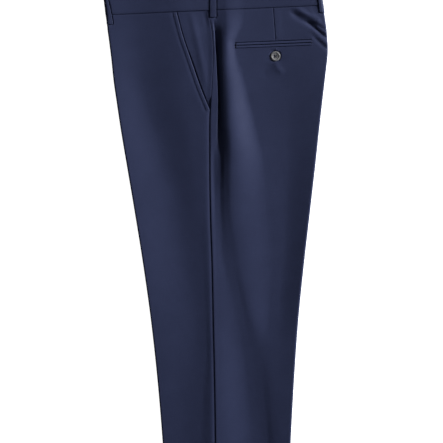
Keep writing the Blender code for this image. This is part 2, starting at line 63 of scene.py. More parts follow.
LOOP_WIDTH = 10.5
LOOP_THICK = 0.75
LOOP_LIFT = 0.1
LOOP_ARCH = 0.15
LOOP_SIDE_X = -3.0
LOOP_ON_FOLD = -7.0
LOOP_SLANT = {"front": 5.5, "back": 3.0}
LOOP_TOP = 0.5
LOOP_BELOW_SEAM = 11.5
FRONT_LOOP_BELOW_SEAM = 16.0
BESIDE_LOOP = 0.6
LOOP_PRESSED = LOOP_WIDTH / 2 + BESIDE_LOOP
LOOP_STITCH = 3.0
FOLD_STEPS = 24

WELT_LEFT_X = 35.4
WELT_RIGHT_X = 165.2
WELT_TOP = 94.8
WELT_LIP = 4.2
WELT_SLIT = 0.7
WELT_SUNK = 2.2
WELT_LOWER = WELT_TOP + WELT_LIP + WELT_SLIT
WELT_END = WELT_LOWER + WELT_LIP
LIP_ROUND = 0.62
LIP_TILT = 0.26
BUTTON_X = 103.0
BUTTON_DOWN = 120.0
BUTTON_RADIUS = 8.3
BUTTON_THICK = 1.9
BUTTON_SHANK = 0.5
HOLE_OUT = 2.05
HOLE_RADIUS = 1.1

DART_GROOVE = 0.26
DART_FOLD = 0.22
SIDE_SEAM_SUNK = 1.3

HEM_TURNED = 38.0
ALLOWANCE = 9.0
POCKET_TURNED = 20.0
EDGE_ROUND = 0.7
FIELD_START = BAND_HEIGHT + SEAM_GAP / 2 + EDGE_ROUND
FINE_UNTIL = 330.0

# How far apart a section's points lie on plain cloth and beside a belt loop.
PLAIN_SPACING = 2.9
LOOP_SPACING = 0.42

# The distances down over which the creases set in under the waistband.
UNDER_BAND = (36, 44)

THREAD_PITCH = 0.42
THREAD_TWIST = 0.3


def columns(names, *rows):
    """A table as a dictionary with one array for each named column."""
    return dict(zip(names.split(), np.array(rows, float).T))


OUTLINE = columns(
    "down front seam back",
    (0, -189, -16.5, 177.4),
    (38, -184.5, -13, 184.4),
    (60, -182.8, -7.4, 188),
    (85, -179.5, -4.3, 191.1),
    (115, -175.8, -2.9, 192.7),
    (150, -172.2, -4.1, 189.5),
    (190, -166.5, -6.6, 184.6),
    (240, -159.1, -8.2, 178.7),
    (300, -149.2, -8.1, 172.1),
    (380, -136, -7.1, 162.7),
    (470, -121.8, -4.3, 152.2),
    (570, -108.1, -2.3, 142.1),
    (680, -96.5, 0.1, 134.5),
    (790, -87.7, 1.6, 128.7),
    (900, -80.4, 3.6, 124.2),
    (1000, -74.9, 5.2, 121.4),
    (1087, -71.1, 6.5, 119.9),
)
TILT = columns("down tilt", (0, 0.049), (180, 0.035), (450, 0), (900, -0.02), (1087, -0.04))

# The upper surface's height over the floor, from the front fold to the back fold.
HEIGHTS = columns(
    "down front_fold front_dip front_rise seam edge valley flank crest foot back_dip back_fold",
    (0, 14.4, 13, 14, 13.8, 13.7, 13.5, 13.6, 13.8, 11.9, 11.2, 11),
    (38, 15.2, 13.4, 14.8, 14, 13.9, 13.8, 14.1, 14.6, 12, 11.1, 11.2),
    (64, 16.2, 13.6, 15.5, 14, 14.3, 13.6, 15.7, 16.6, 12.4, 11.6, 12.2),
    (80, 16.9, 13.8, 15.9, 14.9, 15.2, 11, 16.1, 17.3, 13, 11.9, 12.8),
    (97, 17.6, 13.9, 16.2, 15.6, 15.7, 9.2, 16.8, 17.9, 13.8, 12, 13.2),
    (122, 18.2, 14.1, 16.6, 16.3, 16.3, 8.8, 17.1, 18.4, 13.7, 11.9, 13.4),
    (148, 18.7, 14.2, 16.8, 16.7, 16.4, 8.6, 17.6, 19.1, 12.9, 11.4, 13.5),
    (173, 19.7, 14.2, 16.9, 17, 16.7, 8.6, 18.2, 19.9, 12.2, 10.8, 13.4),
    (199, 20.3, 14.1, 16.9, 17.1, 16.8, 8.8, 18.6, 20.7, 11.2, 10.2, 13.2),
    (224, 20.8, 14, 16.8, 17.1, 16.6, 9.8, 18.8, 21.2, 10.8, 9.7, 13),
    (258, 21.2, 13.8, 16.5, 16.8, 16.1, 12.8, 18.4, 21.4, 10.4, 9.4, 12.8),
    (292, 21.4, 13.6, 16, 16.4, 15.5, 15.9, 18.2, 20.5, 10.1, 9, 12.9),
    (360, 21.2, 13.2, 15, 15.7, 14.4, 14.4, 15.8, 17, 9.7, 8.9, 12.9),
    (445, 20.3, 13, 14.1, 15.3, 14.3, 13.5, 13.9, 14.3, 8.9, 8.7, 12.7),
    (530, 18.6, 13.1, 13.8, 15.2, 14.5, 12.2, 12.2, 12.6, 9, 9, 12.7),
    (615, 16, 13.1, 13.8, 15.4, 14.7, 9.8, 9.8, 10.2, 10.6, 11, 12.9),
    (700, 13.8, 12.9, 13.8, 15.9, 15.2, 8.6, 8.7, 9.4, 10.8, 11.6, 13),
    (773, 12.8, 12.5, 13.7, 15.9, 15.3, 8.7, 8.8, 9.6, 11, 12, 13.2),
    (904, 12.3, 12.4, 13.2, 14.6, 14.2, 9.6, 9.8, 10.4, 11.1, 11.6, 12.6),
    (1087, 12, 11.7, 11.8, 12.2, 12.1, 11.2, 11.2, 11.3, 11.3, 11.4, 11.8),
)

# Where those heights lie: shares of the front's width, then millimetres behind the seam.
PLACES = columns(
    "down front_dip front_rise edge valley flank crest foot back_dip",
    (0, 0.30, 0.72, 8, 23.5, 28, 35, 68, 122),
    (38, 0.30, 0.72, 8, 20, 25, 32, 64, 120),
    (64, 0.30, 0.73, 3.8, 4.6, 19.5, 28, 56, 112),
    (80, 0.30, 0.74, 4.3, 5.2, 17.2, 25.3, 46, 110),
    (97, 0.30, 0.74, 3.7, 4.8, 15, 22.5, 38, 108),
    (122, 0.30, 0.74, 4.7, 6.2, 14.2, 22, 42, 108),
    (148, 0.30, 0.74, 7, 8.6, 16.2, 24.7, 52, 112),
    (173, 0.31, 0.74, 9.6, 11.3, 19, 28.5, 61, 118),
    (199, 0.33, 0.76, 11.5, 13.5, 20.9, 31.4, 68, 124),
    (224, 0.37, 0.78, 11.4, 16.3, 22.2, 33.2, 76, 128),
    (258, 0.43, 0.80, 9.4, 18.5, 23.4, 36, 84, 130),
    (292, 0.46, 0.82, 7, 18.6, 24.2, 36.6, 92, 130),
    (360, 0.56, 0.84, 8, 15, 24.4, 35.4, 98, 126),
    (445, 0.60, 0.84, 8, 18, 30, 42, 104, 121),
    (530, 0.68, 0.86, 8, 38, 46, 56, 100, 112),
    (615, 0.68, 0.86, 8, 52, 60, 76, 92, 108),
    (700, 0.40, 0.76, 8, 59, 68, 82, 96, 108),
    (773, 0.34, 0.72, 8, 65, 74, 88, 98, 108),
    (904, 0.34, 0.72, 8, 62, 71, 84, 94, 104),
    (1087, 0.34, 0.72, 8, 56, 64, 76, 88, 98),
)
FOLDS = columns(
    "down front_round back_round parted step",
    (0, 2.8, 2.6, 0, 0),
    (60, 2.7, 2.6, 0, 0),
    (100, 2.6, 2.5, 0, 0),
    (200, 2.6, 2.3, 1, 0.8),
    (500, 2.5, 2.2, 1, 1),
    (900, 2.5, 2.2, 1, 0.6),
    (1087, 2.6, 2.4, 1, 1),
)
FRONT_STEP = 0.8
FOLD_GAP = 0.7
OPENING = columns(
    "down across", (38, -65.3), (80, -54.4), (120, -41), (166, -25.4), (211.5, -7.2)
)
DART = columns("down across", (38, 98.9), (92, 102.6), (180, 104), (1087, 66))

# Where the hidden inner halves end: the fly and inseam, then the seat seam and inseam.
INNER_ENDS = columns(
    "down front back",
    (0, -98, 166),
    (38, -98, 171),
    (120, -97, 177),
    (180, -92, 160),
    (230, -72, 128),
    (262, -44, 84),
    (288, -8, 4),
    (400, -6, -3),
    (1087, 5, 8),
)

# Soft creases in the upper layer: from a point to another, bowed sideways, with their half
# width and their height, which is below zero for a trough.
CREASES = columns(
    "x0 d0 x1 d1 bow width height",
    (-2.6, 48, 1.4, 100, -0.6, 1.2, -0.5),
    (124, 43.3, 178, 78.7, 0, 4, -1.4),
    (154, 32, 198, 90, 2, 2.6, 0.35),
    (127, 33.1, 187, 72, 0, 4.6, 1.45),
    (160, 61, 196, 84.7, 0, 1.9, -0.8),
    (165, 66, 195, 91, 0, 1.9, 0.6),
    (148, 54, 202, 104, 0, 2.8, -1.5),
    (160, 72, 206, 116, 2, 3.2, 0.45),
    (162, 82.5, 202, 121, 1, 3.2, -0.85),
    (100, 128, 118, 152, 2, 6, 0.7),
    (92, 130, 84, 158, 2, 7, -0.35),
)
FACING_CREASES = columns(
    "x0 d0 x1 d1 bow width height",
    (-46, 20, -12, 186, -2, 6, 0.75),
    (-18, 30, -13, 70, 0, 3, -0.4),
)


def smooth(at, value, x):
    """A curve through the points (at, value) that is level at each high and low one."""
    step = np.diff(at)
    rise = np.diff(value) / step
    slope = np.concatenate([rise[:1], np.zeros(len(rise) - 1), rise[-1:]])
    same = np.flatnonzero(rise[:-1] * rise[1:] > 0)
    slope[same + 1] = 2 / (1 / rise[same] + 1 / rise[same + 1])
    x = np.clip(x, at[0], at[-1])
    i = np.clip(np.searchsorted(at, x, side="right") - 1, 0, len(step) - 1)
    t = (x - at[i]) / step[i]
    bend_in = slope[i] * step[i] * t * (1 - t) ** 2
    bend_out = slope[i + 1] * step[i] * t ** 2 * (1 - t)
    return value[i] + (value[i + 1] - value[i]) * t * t * (3 - 2 * t) + bend_in - bend_out


def read(table, name, down):
    """A table's column at a distance down the cloth."""
    return float(smooth(table["down"], table[name], down))


def pairs(first, second):
    """Two rows of numbers as an array of pairs."""
    return np.stack([first, second], axis=1)


def ease(low, high, x):
    """0 below low, 1 above high, and a smooth rise between them."""
    t = np.clip((np.asarray(x, float) - low) / (high - low), 0, 1)
    return t * t * (3 - 2 * t)


def between(starts, begun, ends, ended, x):
    """1 from begun to ends, and 0 before it starts and where it has ended."""
    return ease(starts, begun, x) * (1 - ease(ends, ended, x))


def outline(down):
    """Where the front fold, the side seam and the back fold lie."""
    return [read(OUTLINE, name, down) for name in ("front", "seam", "back")]


def stations(down):
    """Where the named heights lie across the garment, and what they are."""
    front, seam, back = outline(down)
    width = seam - front
    across = [front] + [front + width * read(PLACES, n, down) for n in ("front_dip", "front_rise")]
    across += [seam] + [seam + read(PLACES, n, down) for n in "edge valley flank crest foot".split()]
    across += [min(seam + read(PLACES, "back_dip", down), back - 12), back]
    return np.array(across), np.array([read(HEIGHTS, name, down) for name in list(HEIGHTS)[1:]])


def creased(x, down, table=CREASES):
    """The creases' share of the height, for an array of places across."""
    total = np.zeros_like(x)
    for x0, d0, x1, d1, bow, width, height in zip(*table.values()):
        run = math.hypot(x1 - x0, d1 - d0)
        along_x, along_d = (x1 - x0) / run, (d1 - d0) / run
        t = ((x - x0) * along_x + (down - d0) * along_d) / run
        aside = (down - d0) * along_x - (x - x0) * along_d - bow * 4 * t * (1 - t)
        ends = ease(0, 0.3, t) * ease(0, 0.3, 1 - t)
        total += height * ends * np.exp(-(aside / width) ** 2)
    return total


def dart_step(x, down):
    """The back dart: a stitched groove with its pressed fold towards the seat."""
    aside = x - read(DART, "across", down)
    fold = DART_FOLD * between(0, 1.2, 7, 14, aside)
    return between(30, 38, 91, 94, down) * (fold - DART_GROOVE * np.exp(-(aside / 0.8) ** 2))


def pressed_round(x, down, middle, below_seam):
    """Distance from a belt loop's outline, which has rounded lower corners."""
    corner = 1.8
    beside = np.abs(x - middle) - LOOP_WIDTH / 2 + corner
    below = np.full_like(x, down - LOOP_TOP - BAND_HEIGHT - below_seam + corner)
    out = np.hypot(np.maximum(beside, 0), np.maximum(below, 0)) - corner
    return out + np.minimum(np.maximum(beside, below), 0)


def loop_groove(x, down):
    """How the cloth is pressed down right beside the belt loops and under their ends."""
    out = pressed_round(x, down, LOOP_SIDE_X, LOOP_BELOW_SEAM)
    deep = np.where(x < LOOP_SIDE_X, 0.85, 0.95)
    total = -deep * np.exp(-((out - 0.45) / 0.95) ** 2)
    for fold, below_seam, deep in (("front", FRONT_LOOP_BELOW_SEAM, 1.0),
                                   ("back", LOOP_BELOW_SEAM, 1.9)):
        if down < BAND_HEIGHT + below_seam + 8:
            side = inwards(fold)
            middle = fold_loop_edge(fold, down) - side * LOOP_WIDTH / 2
            out = pressed_round(x, down, middle, below_seam)
            flat = ease(3.2, 5.2, side * (x - read(OUTLINE, fold, down)))
            total -= flat * deep * np.exp(-((out - 0.5) / 0.85) ** 2)
    return total


def button_dimple(x, down):
    """How the back panel is drawn in under its button."""
    away = np.hypot(x - BUTTON_X, down - BUTTON_DOWN)
    over = np.exp(-((x - BUTTON_X) / 5.0) ** 2 - ((down - BUTTON_DOWN + 11.0) / 3.4) ** 2)
    return 0.4 * over - 1.3 * (1 - ease(8.5, 10.0, away)) - 0.3 * np.exp(-(away / 15) ** 2)


def back_surface(x, down):
    """The left back's upper face, with what its maker sewed into it."""
    level = height(x, down) + dart_step(x, down) - WELT_SUNK * welt_window(x, down)
    return level + loop_groove(x, down) + button_dimple(x, down)


def welt_window(x, down):
    """How deep the back panel is sunk under the pocket's lips."""
    left, right, top, end = WELT_LEFT_X, WELT_RIGHT_X, WELT_TOP, WELT_END
    across = between(left - 1.2, left - 0.7, right - 1.5, right - 0.2, x)
    return across * between(top - 0.7, top - 0.2, end + 0.2, end + 0.7, down)


def height(x, down):
    """The upper surface's height, for an array of places across."""
    x = np.asarray(x, float)
    return smooth(*stations(down), x) + ease(*UNDER_BAND, down) * creased(x, down)


def place(points, down):
    """Points (across, height) at a distance down the cloth, as an array in metres."""
    x, z = np.asarray(points, float).T
    along = WAIST_Y - down + read(TILT, "tilt", down) * x
    return np.stack([x, along, z], axis=1) * MM


def inwards(side):
    """The direction across the garment from a side's fold to its middle."""
    return 1 if side == "front" else -1


def parting(side, down):
    """0 where both layers share one fold and 1 where each has its own."""
    return 1.0 if side == "front" else read(FOLDS, "parted", down)


def groove(side, down):
    """The heights of the lower and upper edge of the groove between two folds."""
    middle = read(HEIGHTS, side + "_fold", down) / 2
    gap = SEAM_GAP + (FOLD_GAP - SEAM_GAP) * parting(side, down)
    return middle - gap / 2, middle + gap / 2


def fold_turn(side, down, set_back, count):
    """A fold's places across, and how far up they are in a whole turn and in a half turn."""
    parted, steps = parting(side, down), np.arange(count + 1) / count
    whole, half = np.radians(90 - 180 * steps), np.radians(90 - 90 * steps)
    bend = parted * np.cos(whole) + (1 - parted) * np.cos(half)
    away = set_back + read(FOLDS, side + "_round", down) * (1 - bend)
    return read(OUTLINE, side, down) + inwards(side) * away, np.sin(whole), np.sin(half)


def upper_fold(side, down, count=12, raised=0.0):
    """Points (across, height) of the upper layer's fold, from its top to its turned end."""
    parted = parting(side, down)
    top, low = read(HEIGHTS, side + "_fold", down), groove(side, down)[1]
    set_back = read(FOLDS, "step", down) if side == "back" else 0.0
    x, whole, half = fold_turn(side, down, set_back, count)
    z = parted * ((top + low) / 2 + (top - low) / 2 * whole)
    z += (1 - parted) * (low + (top - low) * half)
    lift = np.maximum(whole, 0) * parted + half * (1 - parted)
    return pairs(x, z + lift * (height(x, down) - top + raised))


def lower_fold(side, down, count=12):
    """Points (across, height) of the lower layer's fold, from the floor to the groove."""
    parted = parting(side, down)
    set_back = FRONT_STEP if side == "front" else 0.0
    x, whole, half = fold_turn(side, down, set_back, count)
    z = groove(side, down)[0] * (parted * (1 - whole) / 2 + (1 - parted) * (1 - half))
    return pairs(x, z)


def inner_level(x, down, layer):
    """The height of an inner half: layer 0 is the right leg's, layer 1 the left leg's."""
    ends = [read(OUTLINE, side, down) for side in ("front", "back")]
    return np.interp(x, ends, [groove(side, down)[layer] for side in ("front", "back")])


def inner_run(side, start, down, layer):
    """The inner half from the fold to the fly, the seat seam or the inseam."""
    end = read(INNER_ENDS, side, down)
    x = start + (end - start) * np.linspace(0, 1, 13)[1:] ** 1.2
    return pairs(x, inner_level(x, down, layer))


def waist_rows():
    """The rows of a waist edge, as (distance down, inset): its allowance lies under the band."""
    r, top = EDGE_ROUND, BAND_HEIGHT + SEAM_GAP / 2
    turn = np.radians((15, 35, 55, 75))
    rows = [(top - 8, 2.55), (top - 4, 2.55), (top - 1, 2.5), (top - 0.35, 2.2), (top - 0.05, 1.6)]
    return rows + [(top + r * (1 - math.cos(a)), r * (1 - math.sin(a))) for a in turn]


def hem_rows():
    """The rows of a hem turned up inside, as (distance down, inset)."""
    r = EDGE_ROUND
    turn = np.radians(np.linspace(0, 180, 7))[1:]
    rows = [(LENGTH - r + r * math.sin(a), r * (1 - math.cos(a))) for a in turn]
    return rows + [(LENGTH - d, 2 * r) for d in (4, 10, 20, 30, HEM_TURNED)]


def normals(points):
    """The directions square to a section, to the left of its run."""
    run = np.gradient(points, axis=0)
    run /= np.maximum(np.hypot(*run.T), 1e-6)[:, None]
    return pairs(-run[:, 1], run[:, 0])


def inset_path(points, amount, hand, turned):
    """A section moved inwards along its own normals. hand is 1 where the path runs to +X on top,
    and the points of a turned edge all move as its upper face does."""
    if amount == 0:
        return points
    outwards = normals(points)
    outwards[:turned] = outwards[turned + 2]
    return points - hand * amount * outwards


def seam_sink(aside, depth, reach=1.0):
    """How far a seam pulls the cloth down next to it."""
    return depth * np.exp(-(np.maximum(aside, 0) / reach) ** 1.3)


def tuck_width(down, wide):
    """A seam allowance's width, narrow in the turned-up hem."""
    return 1.4 + (wide - 1.4) * (1 - ease(LENGTH - 62, LENGTH - 44, down))


def joined_edge(edge, down, depth):
    """The back's seam edge: from its allowance under the front, up into the seam."""
    wide = tuck_width(down, ALLOWANCE)
    x = edge + np.array([-wide, -wide / 2, -1.2, -0.45, -0.1, 0.0, 0.05, 0.2, 0.42])
    drop = np.array([2.6, 2.6, 2.6, 2.5, 2.1, 1.5, 0.62, 0.3, 0.1])
    return pairs(x, height(x, down) - drop - seam_sink(x - edge, depth))


def crowded(start, end, count, wants):
    """Places from start to end, closer together near each want: its middle, its reach, the
    spacing there, and how much of that is wanted."""
    fine = np.linspace(start, end, 900)
    density = np.full(len(fine), 1 / PLAIN_SPACING)
    for middle, reach, spacing, share in wants:
        density = np.maximum(density, share / spacing * np.exp(-((fine - middle) / reach) ** 4))
    way = np.concatenate([[0], np.cumsum(density[1:] + density[:-1])])
    return np.interp(np.linspace(0, way[-1], count), way, fine)


def front_edge(down):
    """Where the left front ends, and 1 along the pocket opening or 0 along the side seam."""
    seam = read(OUTLINE, "seam", down) - SEAM_GAP / 2
    pocket = 1 - ease(POCKET_END - 4, POCKET_END, down)
    return min(seam, read(OPENING, "across", down)) if down < POCKET_END else seam, pocket


def front_sink(aside, pocket):
    """How deep the front lies near its edge: a rounded pocket edge and stitched ridge, or a seam."""
    ridge = between(STITCH_IN - 1.6, STITCH_IN, STITCH_IN, STITCH_IN + 5.5, aside)
    relief = 0.34 * ridge + 0.22 * (1 - ease(0, 2.2, aside))
    return seam_sink(aside, SIDE_SEAM_SUNK * (1 - pocket), 3.2) + pocket * relief


def turned_edge(edge, down, pocket):
    """The front's edge turned under: from the turned end, round the edge, to the upper face."""
    tuck = POCKET_TURNED if pocket > 0.5 else tuck_width(down, ALLOWANCE)
    under = edge - np.linspace(tuck, EDGE_ROUND, 4)
    turn = np.radians(np.linspace(-90, 90, 7))[1:-1]
    x = np.concatenate([under, edge - EDGE_ROUND * (1 - np.cos(turn))])
    drop = np.concatenate([np.full(4, 2.0), 1 - np.sin(turn)]) * EDGE_ROUND
    return pairs(x, height(x, down) - drop - front_sink(edge - x, pocket))


def front_path(down):
    """The left front's section, from its turned edge over the fold to its inner end."""
    edge, pocket = front_edge(down)
    turned = turned_edge(edge, down, pocket)
    fold = upper_fold("front", down)
    near = np.array([0.7, 1.0, 1.4, 1.9, 2.5, 3.6, 4.8, 5.3, 5.8, 6.3, 6.8, 7.5, 8.5, 9.9, 11.6, 14.2])
    wants = [(beside_loop("front", down), 2.2, LOOP_SPACING, 1 - ease(60, 70, down))]
    rest = crowded(edge - 17.0, fold[0, 0], 66, wants)[:-1]
    x = np.concatenate([edge - near, rest])
    level = height(x, down) - front_sink(edge - x, pocket) + loop_groove(x, down)
    top = pairs(x, level)
    inner = inner_run("front", fold[-1, 0], down, 1)
    return np.concatenate([turned, top, fold, inner])


def back_path(down):
    """The left back's section, from its turned edge over the fold to its inner end."""
    edge = read(OUTLINE, "seam", down) + SEAM_GAP / 2
    depth = 0.15 - 0.12 * (1 - ease(150, 180, down))
    turned = joined_edge(edge, down, depth)
    fold = upper_fold("back", down)
    dart = read(DART, "across", down)
    at_loop = 1 - ease(54, 66, down)
    at_dart = 1 - ease(95, 104, down)
    at_button = between(96, 106, 134, 150, down)
    at_welt = between(84, 90, 106, 112, down)
    wall = edge + (read(PLACES, "edge", down) + read(PLACES, "valley", down)) / 2
    steep = between(66, 76, 236, 250, down)
    wants = [(edge + 1.0, 3.0, 0.6, 1.0), (edge + 22.0, 21.0, 1.5, 1.0), (wall, 1.9, 0.34, steep),
             (beside_loop("back", down), 2.2, LOOP_SPACING, at_loop),
             (LOOP_SIDE_X - LOOP_PRESSED, 2.0, LOOP_SPACING, at_loop),
             (LOOP_SIDE_X + LOOP_PRESSED, 2.0, LOOP_SPACING, at_loop),
             (dart, 1.8, 0.36, at_dart), (BUTTON_X, 12.0, 0.75, at_button),
             (WELT_LEFT_X - 0.7, 1.3, 0.26, at_welt), (WELT_RIGHT_X - 0.8, 1.6, 0.3, at_welt)]
    x = np.concatenate([[edge + 0.7], crowded(edge + 1.1, fold[0, 0], 116, wants)[:-1]])
    top = pairs(x, back_surface(x, down) - seam_sink(x - edge, depth))
    inner = inner_run("back", fold[-1, 0], down, 1)
    return np.concatenate([turned, top, fold, inner])


def facing_path(down):
    """The side piece behind the pocket opening, from the side seam to under the front."""
    edge = read(OUTLINE, "seam", down) - SEAM_GAP / 6
    opening = min(read(OPENING, "across", down), edge - 2.0)
    wide = edge - opening
    if wide > 8:
        first, near = 3.0, np.array([2.4, 1.9, 1.4, 0.9, 0.4, -0.2])
    else:
        first, near = 0.5, np.array([0.4, 0.3, 0.2, 0.1, 0.0, -0.2])
    turn = np.radians(np.linspace(-90, 90, 7))[:-1]
    r = EDGE_ROUND / 2
    x = np.concatenate([edge - r * (1 - np.cos(turn)), edge - np.array([0.4, 0.9, 1.7, 2.8]),
                        np.linspace(edge - 4.0, opening + first, 20), opening + near,
                        opening - np.array([3.0, 8.0, 15.0, 22.0])])
    drop = np.zeros(len(x))
    drop[:6] = r * (1 - np.sin(turn))
    behind = x - opening
    shaded = 1.7 + 1.1 * ease(90, 130, down)
    depth = 1.3 * FACING_DEPTH * (1 - ease(0.2, shaded, behind))
    depth += 0.3 + 0.3 * ease(0, wide, behind) - 0.52 * ease(wide - 9, wide, behind)
    depth = np.maximum(depth, FACING_DEPTH * (1 - ease(6, 14, wide)))
    z = height(x, down) - depth - drop - seam_sink(edge - x, 0.03)
    z += ease(*UNDER_BAND, down) * creased(x, down, FACING_CREASES)
    return pairs(x, z)


def right_path(side, down):
    """A right panel's section: from the side seam along the floor, the fold and inner half."""
    towards = inwards(side)
    edge = read(OUTLINE, "seam", down) - towards * SEAM_GAP / 2
    fold = lower_fold(side, down)
    turn = np.radians(np.linspace(-90, 90, 7))[1:-1]
    under = edge - towards * np.linspace(tuck_width(down, ALLOWANCE), EDGE_ROUND, 3)
    x = np.concatenate([under, edge - towards * EDGE_ROUND * (1 - np.cos(turn)),
                        edge - towards * np.array([0.7, 1.3, 2.4, 5.0]),
                        np.linspace(edge - towards * 9.0, fold[0, 0], 26)[:-1]])
    z = np.zeros(len(x))
    z[:3] = 2 * EDGE_ROUND
    z[3:8] = EDGE_ROUND * (1 - np.sin(turn))
    flat = pairs(x, z)
    return np.concatenate([flat, fold, inner_run(side, fold[-1, 0], down, 0)])


def add_object(name, data):
    """Puts a mesh, lamp or camera into the scene."""
    made = bpy.data.objects.new(name, data)
    bpy.context.scene.collection.objects.link(made)
    return made


def new_object(name, bm):
    """Puts a bmesh into the scene as an object."""
    mesh = bpy.data.meshes.new(name)
    bm.to_mesh(mesh)
    bm.free()
    return add_object(name, mesh)


def finish_piece(piece, material, slot, *nodes):
    """Gives a piece its material, hangs it on the root body and hides the imported parts it stands
    for.
    """
    piece.data.materials.clear()
    piece.data.materials.append(material)
    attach(piece, "root")
    if nodes:
        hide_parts(*nodes)
    return piece


def cloth_piece(name, node, rows, uvs, joined=False):
    """A smooth piece of cloth from equally long rows of points, with its cloth coordinates.
    Where it is joined, its first and last rows or columns become one and its ends are filled."""
    along, across = len(rows) - 1, len(rows[0]) - 1
    bm = bmesh.new()
    bmesh.ops.create_grid(bm, x_segments=across, y_segments=along, size=0.5)
    order = np.array([(round((v.co.y + 0.5) * along), round((v.co.x + 0.5) * across))
                      for v in bm.verts])
    made = new_object(name, bm)
    mesh = made.data
    points = np.array(rows, float)[order[:, 0], order[:, 1]]
    mesh.vertices.foreach_set("co", points.ravel())
    corner = np.zeros(len(mesh.loops), int)
    mesh.loops.foreach_get("vertex_index", corner)
    layer = mesh.uv_layers.new(name="cloth")
    layer.data.foreach_set("uv", np.array(uvs, float)[order[:, 0], order[:, 1]][corner].ravel())
    mesh.update()
    mesh.shade_smooth()
    if joined:
        bm = bmesh.new()
        bm.from_mesh(mesh)
        bmesh.ops.remove_doubles(bm, verts=bm.verts, dist=0.002 * MM)
        bmesh.ops.holes_fill(bm, edges=[e for e in bm.edges if e.is_boundary])
        bmesh.ops.recalc_face_normals(bm, faces=bm.faces)
        bm.to_mesh(mesh)
        bm.free()
    return finish_piece(made, cloth, "cloth", node)


def way_along(points):
    """How far it is from the first point to each of them."""
    return np.concatenate([[0], np.cumsum(np.hypot(*np.diff(points, axis=0).T))])


def woven_piece(name, node, paths, rows, straight=0, joined=False):
    """A piece of cloth through a section for each (distance down, inset). Its threads run along
    the sections and down the cloth, straight through the section point number straight."""
    points, uvs = [], []
    for path, (down, _), along in zip(paths, rows, way_along(rows)):
        way = way_along(path)
        points.append(place(path, down))
        uvs.append(pairs(way - way[straight], np.full(len(way), along)) * MM)
    return cloth_piece(name, node, points, uvs, joined)


def panel(name, node, path, rows, hand, turned=9, straight=-25):
    """A cloth panel with its thickness. Its threads run straight where the pressed fold begins."""
    paths = [inset_path(path(down), inset, hand, turned) for down, inset in rows]
    made = woven_piece(name, node, paths, rows, straight)
    face_outwards(made)
    wall = made.modifiers.new("wall", "SOLIDIFY")
    wall.thickness = CLOTH * MM
    wall.offset = -1
    return made


def face_outwards(piece):
    """Turns a panel's faces so that the upper leg's look up and the lower leg's look down."""
    bm = bmesh.new()
    bm.from_mesh(piece.data)
    bm.normal_update()
    above = sum(f.normal.z * f.calc_area() for f in bm.faces if f.calc_center_median().z > 9 * MM)
    below = sum(f.normal.z * f.calc_area() for f in bm.faces if f.calc_center_median().z < 0.1 * MM)
    if above < 0 or below > 0:
        bmesh.ops.reverse_faces(bm, faces=bm.faces)
        bm.to_mesh(piece.data)
    bm.free()


def all_rows(fine=2.6, coarse=6.2, extra=()):
    """Every row of a panel from the waist seam, where they lie close, to the turned-up hem."""
    last = LENGTH - EDGE_ROUND
    rest = np.linspace(FINE_UNTIL, last, int((last - FINE_UNTIL) / coarse) + 1)
    places = np.concatenate([np.arange(FIELD_START, FINE_UNTIL, fine), rest])
    if len(extra):
        spaced = [d for d in places if np.min(np.abs(extra - d)) > 1.3]
        places = np.sort(np.concatenate([spaced, extra]))
    return waist_rows() + [(d, 0.0) for d in places] + hem_rows()


WELT_ROWS = np.concatenate([
    WELT_TOP + np.array([-3, -1.6, -0.8, -0.55, -0.3, 0, 1.5, 3, 4.5, 6, 7.5, 8.7]),
    WELT_END + np.array([0.1, 0.35, 0.6, 0.9, 1.8, 3.2])])
LOOP_END_ROWS = LOOP_TOP + BAND_HEIGHT + LOOP_BELOW_SEAM + np.array(
    [-2.4, -1.6, -1.1, -0.7, -0.3, 0.1, 0.5, 0.9, 1.4, 2.1])
FRONT_LOOP_ROWS = LOOP_END_ROWS + FRONT_LOOP_BELOW_SEAM - LOOP_BELOW_SEAM
BUTTON_ROWS = BUTTON_DOWN + np.concatenate([np.arange(-11, -8, 0.6), [-6, -3, 0, 3, 6],
                                            np.arange(8.4, 11.5, 0.6)])


def band_ring(down, inset):
    """The waistband's closed section, from the centre back round the left half and back."""
    front = upper_fold("front", down, 14, BAND_RAISE)
    back = upper_fold("back", down, 10, BAND_RAISE)
    places = (LOOP_SIDE_X - LOOP_PRESSED, LOOP_SIDE_X + LOOP_PRESSED,
              beside_loop("front", down), beside_loop("back", down))
    wants = [(at, 2.0, LOOP_SPACING, 1.0) for at in places]
    x = crowded(back[0, 0], front[0, 0], 126, wants)[1:-1]
    top = pairs(x, height(x, down) + BAND_RAISE)
    tuck_x = np.linspace(front[-1, 0], TUCK_END_X, 12)[1:]
    above = pairs(tuck_x, inner_level(tuck_x, down, 1))
    below = pairs(tuck_x, inner_level(tuck_x, down, 0))[::-1]
    low_front = lower_fold("front", down, 14)[::-1]
    low_back = lower_fold("back", down, 10)
    floor_x = np.linspace(low_front[-1, 0], low_back[0, 0], 40)[1:-1]
    floor = pairs(floor_x, np.zeros(len(floor_x)))
    ring = np.concatenate([back[::-1], top, front[1:], above, below, low_front[1:], floor,
                           low_back])
    closed = np.concatenate([ring[-3:], ring, ring[:3]])
    moved = ring + inset * normals(closed)[3:-3]
    upper = slice(len(back), len(back) + len(top))
    moved[upper, 1] += (1 - ease(0, 1.2, inset)) * loop_groove(x, down)
    return np.concatenate([moved, moved[:1]])


